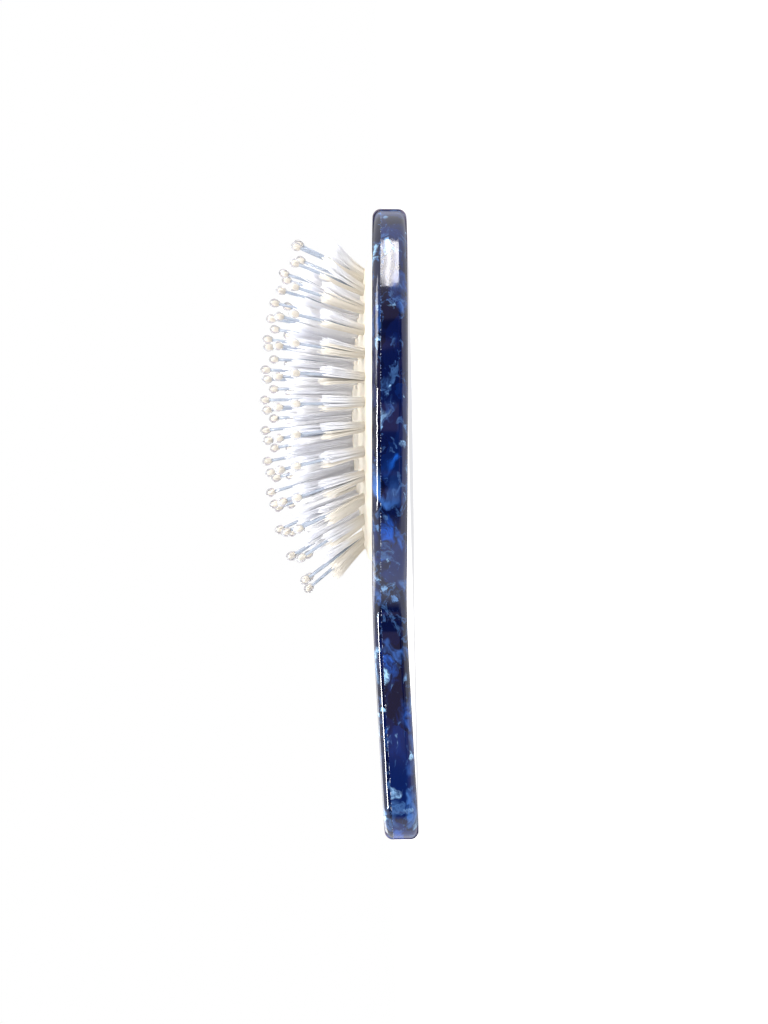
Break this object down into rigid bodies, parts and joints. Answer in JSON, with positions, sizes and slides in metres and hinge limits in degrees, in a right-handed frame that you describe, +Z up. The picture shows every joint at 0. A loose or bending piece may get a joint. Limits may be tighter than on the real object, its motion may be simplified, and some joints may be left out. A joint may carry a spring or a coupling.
{
  "type": "paddle hairbrush",
  "caption": "Flat oval hairbrush with a laminated body, a domed air cushion pad and tufts that each hold a ball-tipped pin.",
  "frame": {"origin": "middle of the footprint on the surface that the brush lies on, with its back down", "axes": "+X from the handle to the head, +Z up out of the back through the bristles, +Y across the brush"},
  "size_m": [0.2252, 0.0804, 0.0538],
  "materials": {
    "acetate": "polished mottled blue cellulose acetate",
    "pad_rubber": "matt cream white rubber",
    "tuft_nylon": "fine white nylon fibre",
    "pin_nylon": "clear nylon",
    "tip_nylon": "clear nylon over an ivory core",
    "anchor_steel": "drawn wire"
  },
  "bodies": {
    "brush_body": {"back_plate": "acetate", "core_rear": "acetate", "core_front": "acetate", "front_frame": "acetate", "cushion_pad": "pad_rubber"},
    "bristles_centre": {"tufts_ring_4": "tuft_nylon", "pins_ring_4": "pin_nylon", "pin_tips_ring_4": "tip_nylon", "anchor_wires_ring_4": "anchor_steel"},
    "bristles_inner": {"tufts_ring_3": "tuft_nylon", "pins_ring_3": "pin_nylon", "pin_tips_ring_3": "tip_nylon", "anchor_wires_ring_3": "anchor_steel"},
    "bristles_middle": {"tufts_ring_2": "tuft_nylon", "pins_ring_2": "pin_nylon", "pin_tips_ring_2": "tip_nylon", "anchor_wires_ring_2": "anchor_steel"},
    "bristles_outer": {"tufts_ring_1": "tuft_nylon", "pins_ring_1": "pin_nylon", "pin_tips_ring_1": "tip_nylon", "anchor_wires_ring_1": "anchor_steel"}
  },
  "joints": [
    {"name": "cushion_press", "type": "slide", "parent": "brush_body", "child": "bristles_centre", "axis": [-0.0198, 0, -0.9998], "range_m": [0, 0.004], "stiffness_N_per_m": 1200, "springref_m": -0.0007, "deforming": ["cushion_pad"]},
    {"name": "inner_press", "type": "slide", "parent": "brush_body", "child": "bristles_inner", "axis": [-0.0198, 0, -0.9998], "range_m": [0, 0.00352]},
    {"name": "middle_press", "type": "slide", "parent": "brush_body", "child": "bristles_middle", "axis": [-0.0198, 0, -0.9998], "range_m": [0, 0.00276]},
    {"name": "outer_press", "type": "slide", "parent": "brush_body", "child": "bristles_outer", "axis": [-0.0198, 0, -0.9998], "range_m": [0, 0.00166]}
  ],
  "couplings": [
    {"joint": "inner_press", "follows": "cushion_press", "ratio": 0.879},
    {"joint": "middle_press", "follows": "cushion_press", "ratio": 0.69},
    {"joint": "outer_press", "follows": "cushion_press", "ratio": 0.416}
  ]
}
